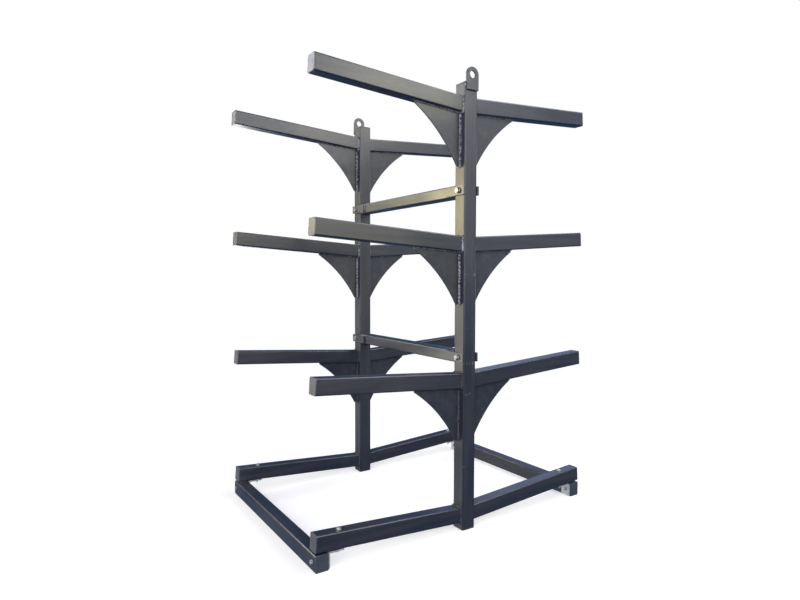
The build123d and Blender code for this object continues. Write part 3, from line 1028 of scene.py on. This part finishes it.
def pale_floor():
    """Near white, and clear from below and towards its rim."""
    material, tree, shader, place = new_finish("floor_paint")
    shader.inputs["Base Color"].default_value = (0.74, 0.71, 0.66, 1)
    shader.inputs["Roughness"].default_value = 0.9
    shader.inputs["Emission Color"].default_value = (1, 1, 1, 1)
    shader.inputs["Emission Strength"].default_value = 0.52
    flat = add(tree, "ShaderNodeVectorMath", {0: place}, operation="LENGTH")
    outwards = calculate(tree, "DIVIDE", flat.outputs["Value"], FLOOR_RADIUS)
    faded = ramp(tree, outwards, (0.20, 0.0), (0.62, 1.0))
    under = add(tree, "ShaderNodeNewGeometry").outputs["Backfacing"]
    gone = calculate(tree, "MAXIMUM", faded, under)
    clear = add(tree, "ShaderNodeBsdfTransparent")
    both = add(tree, "ShaderNodeMixShader", {0: gone})
    tree.links.new(shader.outputs["BSDF"], both.inputs[1])
    tree.links.new(clear.outputs["BSDF"], both.inputs[2])
    tree.links.new(both.outputs["Shader"], tree.nodes["Material Output"].inputs["Surface"])
    return material


bm = bmesh.new()
bmesh.ops.create_circle(bm, cap_ends=True, segments=64, radius=FLOOR_RADIUS)
mesh = as_mesh(bm, "floor")
mesh.materials.append(pale_floor())
floor = bpy.data.objects.new("floor", mesh)
bpy.context.scene.collection.objects.link(floor)
floor.visible_glossy = False
floor.visible_diffuse = False
floor.visible_shadow = False
print("floor radius", FLOOR_RADIUS, "m")

# %% [markdown]
# ## Light
#
# Gloss paint shows what is round it, so the lights are soft panels, most of them upright in a ring
# round the rack. Most stand where one set of faces mirrors them. A panel's strength is given as
# brightness, the light from each square metre, because that is what the paint mirrors: a bigger
# panel of the same brightness doesn't look brighter in it.

# %% A soft panel
STUDIO_RADIUS = 6.0


def panel(name, at, aim, size, brightness, colour):
    """A soft light panel of a given brightness, whatever its size."""
    lamp = bpy.data.lights.new(name, "AREA")
    lamp.shape = "RECTANGLE"
    lamp.size, lamp.size_y = size
    lamp.energy = brightness * pi * size[0] * size[1]
    lamp.color = colour
    made = bpy.data.objects.new(name, lamp)
    made.location = at
    made.rotation_euler = (at - aim).to_track_quat("Z", "Y").to_euler()
    made.visible_camera = False
    bpy.context.scene.collection.objects.link(made)
    return made


def ring_panel(name, heading, spread, low, high, brightness, colour):
    """An upright panel on the ring: heading and spread in degrees, anticlockwise from +X."""
    aim = Z_AXIS * (low + high) / 2
    at = aim + Vector((cos(radians(heading)), sin(radians(heading)), 0)) * STUDIO_RADIUS
    size = (2 * STUDIO_RADIUS * tan(radians(spread / 2)), high - low)
    return panel(name, at, aim, size, brightness, colour)


print("the ring is", STUDIO_RADIUS, "m out")

# %% [markdown]
# ### The ring of panels
#
# The front panels are mirrored by the faces that look forwards, and the highest are the brightest.
# The back ones stand behind the rack on the left, where the faces that look left mirror them:
# nearly dark deep below the floor, warm from 1.2 m to 3.2 m up, and pale above that. The left ones,
# the rim one at the back and the one overhead draw the pale line along the rounded edges. The rest
# fill in for the other sides, so that the rack isn't black from behind.
#
# The faces on top mirror the ring behind the rack on the right. Only one dim panel stands there at
# that height, so they stay close to the dim blue of the air.

# %% Front, left, back and fill panels
# Each row: name, heading, spread, lowest and highest edge in metres, brightness, colour.
FRONT_PANELS = (
    ("front_wide", -84, 12, 0.0, 4.2, 4.2, (1.0, 0.90, 0.84)),
    ("front_key", -73, 10, 2.2, 4.2, 3.6, (0.97, 1.0, 0.98)),
    ("front_low", -69, 18, 0.0, 2.2, 2.0, (1.0, 0.97, 0.58)),
    ("front_mid", -64, 8, 2.2, 3.1, 4.6, (1.0, 0.96, 1.0)),
    ("front_high", -61, 14, 3.1, 4.2, 8.2, (1.0, 0.95, 0.68)),
    ("front_right", -45, 14, 0.8, 3.2, 0.8, (1.0, 0.99, 1.0)),
    ("front_top", -46, 16, 4.2, 6.5, 8.6, (0.76, 0.84, 1.0)),
)
LEFT_PANELS = (
    ("left_high", -130, 20, 2.4, 4.6, 8.0, (0.80, 0.84, 1.0)),
    ("left_line", -148, 14, 0.2, 4.2, 8.5, (1.0, 0.93, 0.95)),
)
BACK_PANELS = (
    ("back_deep", 137, 22, -3.5, -1.2, 0.9, (1.0, 0.92, 0.84)),
    ("back_low", 132, 8, -1.2, 1.2, 4.6, (1.0, 0.92, 0.76)),
    ("back_warm", 132, 8, 1.2, 2.2, 11.2, (1.0, 0.87, 0.43)),
    ("back_mid", 132, 8, 2.2, 3.2, 7.5, (1.0, 0.78, 0.32)),
    ("back_high", 128, 16, 3.2, 4.8, 4.6, (0.97, 0.95, 1.0)),
    ("back_right", 124, 8, 2.2, 3.2, 5.0, (0.92, 1.0, 0.70)),
    ("back_left", 140, 8, 1.2, 3.2, 7.3, (1.0, 0.92, 0.73)),
    ("back_rim", 106, 14, 3.8, 5.2, 8.0, (0.86, 0.85, 1.0)),
)
FILL_PANELS = (
    ("far_right", 40, 20, 2.2, 4.5, 1.2, (0.62, 0.70, 1.0)),
    ("right_side", 5, 24, 0.6, 4.0, 3.0, (1.0, 0.97, 0.93)),
    ("behind", 90, 20, -1.6, 1.0, 5.0, (1.0, 0.98, 0.95)),
    ("left_wall", 182, 40, 0.0, 3.4, 0.8, (0.96, 0.94, 1.0)),
)
for row in FRONT_PANELS + LEFT_PANELS + BACK_PANELS + FILL_PANELS:
    ring_panel(*row)
panel("overhead", Vector((2.4, -1.4, 4.6)), Z_AXIS, (1.8, 2.6), 6.0, (0.88, 0.86, 1.0))

# %% [markdown]
# ### The air of the studio
#
# The paint mirrors a dim blue air wherever there is no panel. The camera itself sees plain white
# behind the rack: a Light Path node tells its rays from the others.

# %% Dim blue air, white behind the rack
AIR = (0.035, 0.09, 0.20)
world = bpy.data.worlds.new("studio")
world.use_nodes = True
bpy.context.scene.world = world
air = world.node_tree
blue = air.nodes["Background"]
blue.inputs["Color"].default_value = (*AIR, 1)
pale = add(air, "ShaderNodeBackground", {"Color": (1.0, 1.0, 1.0, 1), "Strength": 1.0})
seen = add(air, "ShaderNodeLightPath").outputs["Is Camera Ray"]
mixed = add(air, "ShaderNodeMixShader", {0: seen})
air.links.new(blue.outputs["Background"], mixed.inputs[1])
air.links.new(pale.outputs["Background"], mixed.inputs[2])
air.links.new(mixed.outputs["Shader"], air.nodes["World Output"].inputs["Surface"])
print("air colour", AIR)

# %% [markdown]
# ## Camera
#
# The camera stands in front of the rack and to its left, a metre above the floor, and looks
# slightly down at the rack's waist.

# %% A camera a metre above the floor
CAMERA_AT = (-1.4613, -2.1713, 1.0002)
HEADING = radians(33.235)
DIP = radians(-2.525)
TILT = radians(0.105)
LENS = 26.287
SENSOR = 36.0
camera_data = bpy.data.cameras.new("camera")
camera_data.sensor_width = SENSOR
camera_data.lens = LENS
camera = bpy.data.objects.new("camera", camera_data)
looking = Vector((sin(HEADING) * cos(DIP), cos(HEADING) * cos(DIP), sin(DIP)))
camera.rotation_mode = "QUATERNION"
camera.location = CAMERA_AT
tilted = Matrix.Rotation(TILT, 3, "Z").to_quaternion()
camera.rotation_quaternion = looking.to_track_quat("-Z", "Y") @ tilted
bpy.context.scene.collection.objects.link(camera)
bpy.context.scene.camera = camera
bpy.context.scene.view_settings.view_transform = "Standard"
print("camera", round(degrees(HEADING), 2), "degrees to the right of straight on")
